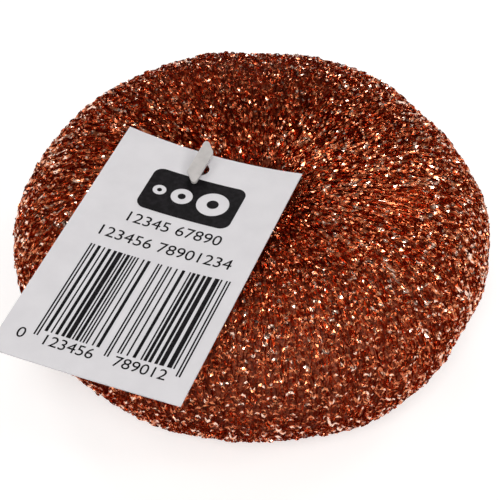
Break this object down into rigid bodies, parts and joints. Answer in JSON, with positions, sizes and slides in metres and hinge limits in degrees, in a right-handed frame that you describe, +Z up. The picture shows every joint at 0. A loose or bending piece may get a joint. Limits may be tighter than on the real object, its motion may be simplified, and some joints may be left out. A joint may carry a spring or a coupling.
{
  "type": "knitted copper scourer",
  "caption": "Ring-shaped pot scourer rolled from one knitted copper ribbon sleeve, gathered and tied at the middle, with a card swing tag on a nylon tag pin.",
  "frame": {"origin": "on the surface that the scourer stands on, under the ring's axis", "axes": "+Z up along the ring's axis; the tag lies over the front, -Y, turned towards -X"},
  "size_m": [0.109, 0.1231, 0.0452],
  "materials": {
    "copper_mesh": "knitted bright copper ribbon, dark between the loops, with many small glints",
    "copper_wire": "bright drawn copper wire",
    "nylon": "translucent grey-white moulded nylon",
    "card": "smooth white card, printed in black"
  },
  "bodies": {
    "scourer": {"knitted_sleeve": "copper_mesh", "centre_tie": "copper_wire", "pin_crossbar": "nylon"},
    "pin": {"pin_filament": "nylon"},
    "tag": {"swing_tag": "card", "pin_paddle": "nylon"}
  },
  "joints": [
    {"name": "tag_swivel", "type": "hinge", "parent": "scourer", "child": "pin", "pos_m": [-0.01, 0, 0.0359], "axis": [0, 0, 1], "continuous": true},
    {"name": "tag_lift", "type": "hinge", "parent": "pin", "child": "tag", "pos_m": [-0.00828, 0.00321, 0.04365], "axis": [-0.9354, 0.3535, 0], "range_deg": [0, 120]}
  ]
}
